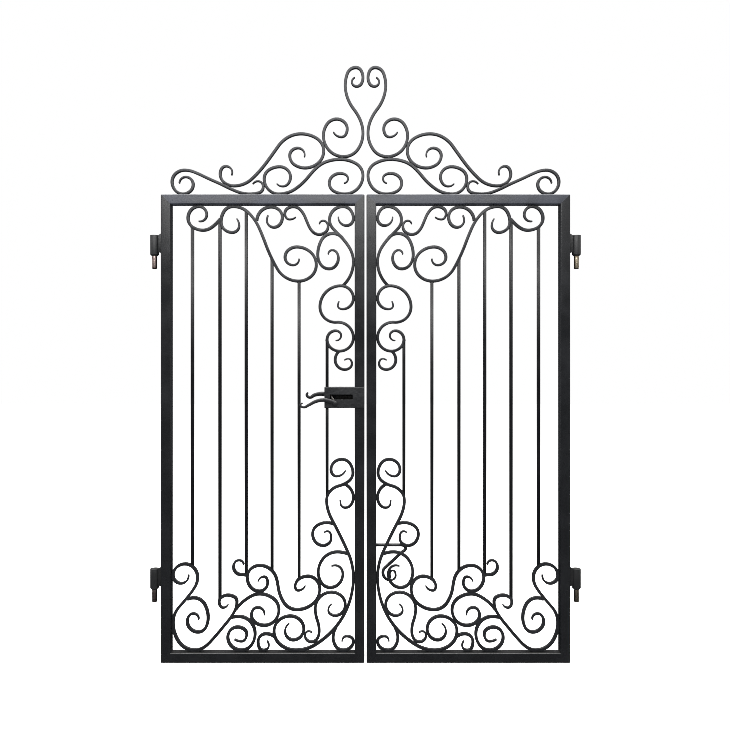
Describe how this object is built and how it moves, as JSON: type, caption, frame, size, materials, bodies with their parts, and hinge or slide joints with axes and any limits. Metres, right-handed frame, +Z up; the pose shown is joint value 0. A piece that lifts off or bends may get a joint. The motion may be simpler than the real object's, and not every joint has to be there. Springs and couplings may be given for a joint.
{
  "type": "wrought iron driveway gate",
  "caption": "Wrought-iron driveway gate: scroll-filled box-section leaves hung on post pins, with curled cresting and a lever latch.",
  "frame": {"origin": "on the axis of the lower left hinge pin, on the pin's shoulder, where its socket stretch ends and the barrel stands", "axes": "+Z up along the pin, +X to the right across both closed leaves, +Y away from the viewer, the way the leaves swing open"},
  "size_m": [1.755, 0.072, 2.4272],
  "materials": {
    "frame_paint": "black semi-gloss paint over smooth box section",
    "scroll_paint": "black semi-gloss paint over hot-worked square bar",
    "hinge_paint": "black semi-gloss paint over turned steel and welds",
    "latch_paint": "black paint over hammered plate and forged handles",
    "bolt_iron": "dark worn iron, greased",
    "pin_steel": "bare turned steel with a warm tarnish"
  },
  "bodies": {
    "post_pins": {"left_hinge_pins": "pin_steel", "right_hinge_pins": "pin_steel"},
    "left_leaf": {"left_hinge_stile": "frame_paint", "left_meeting_stile": "frame_paint", "left_bottom_rail": "frame_paint", "left_top_rail": "frame_paint", "left_end_scroll": "scroll_paint", "left_swan_scroll": "scroll_paint", "left_base_scroll": "scroll_paint", "left_finial_scroll": "scroll_paint", "left_long_swan": "scroll_paint", "left_link_scroll": "scroll_paint", "left_latch_scroll": "scroll_paint", "left_corner_scroll": "scroll_paint", "left_foot_scroll": "scroll_paint", "left_spine_scroll": "scroll_paint", "left_kneeling_scroll": "scroll_paint", "left_cradle_scroll": "scroll_paint", "left_bars": "scroll_paint", "left_lower_hinge": "hinge_paint", "left_upper_hinge": "hinge_paint", "latch_case": "latch_paint"},
    "right_leaf": {"right_hinge_stile": "frame_paint", "right_meeting_stile": "frame_paint", "right_bottom_rail": "frame_paint", "right_top_rail": "frame_paint", "right_end_scroll": "scroll_paint", "right_swan_scroll": "scroll_paint", "right_base_scroll": "scroll_paint", "right_finial_scroll": "scroll_paint", "right_long_swan": "scroll_paint", "right_link_scroll": "scroll_paint", "right_latch_scroll": "scroll_paint", "right_corner_scroll": "scroll_paint", "right_foot_scroll": "scroll_paint", "right_spine_scroll": "scroll_paint", "right_kneeling_scroll": "scroll_paint", "right_cradle_scroll": "scroll_paint", "right_bars": "scroll_paint", "right_lower_hinge": "hinge_paint", "right_upper_hinge": "hinge_paint", "right_low_rod": "latch_paint"},
    "latch_lever": {"latch_spindle": "bolt_iron", "latch_handles": "latch_paint"},
    "latch_bolt": {"latch_bolt": "bolt_iron"}
  },
  "joints": [
    {"name": "left_leaf_swing", "type": "hinge", "parent": "post_pins", "child": "left_leaf", "pos_m": [0, 0, 0], "axis": [0, 0, 1], "range_deg": [0, 100]},
    {"name": "right_leaf_swing", "type": "hinge", "parent": "post_pins", "child": "right_leaf", "pos_m": [1.72, 0, 0], "axis": [0, 0, -1], "range_deg": [0, 100]},
    {"name": "latch_lever_turn", "type": "hinge", "parent": "left_leaf", "child": "latch_lever", "pos_m": [0.737, 0, 0.75883], "axis": [0, 1, 0], "range_deg": [0, 31]},
    {"name": "latch_bolt_slide", "type": "slide", "parent": "left_leaf", "child": "latch_bolt", "axis": [1, 0, 0], "range_m": [0, 0.0216]}
  ],
  "couplings": [
    {"joint": "latch_bolt_slide", "follows": "latch_lever_turn", "m_per_rad": 0.0399}
  ]
}
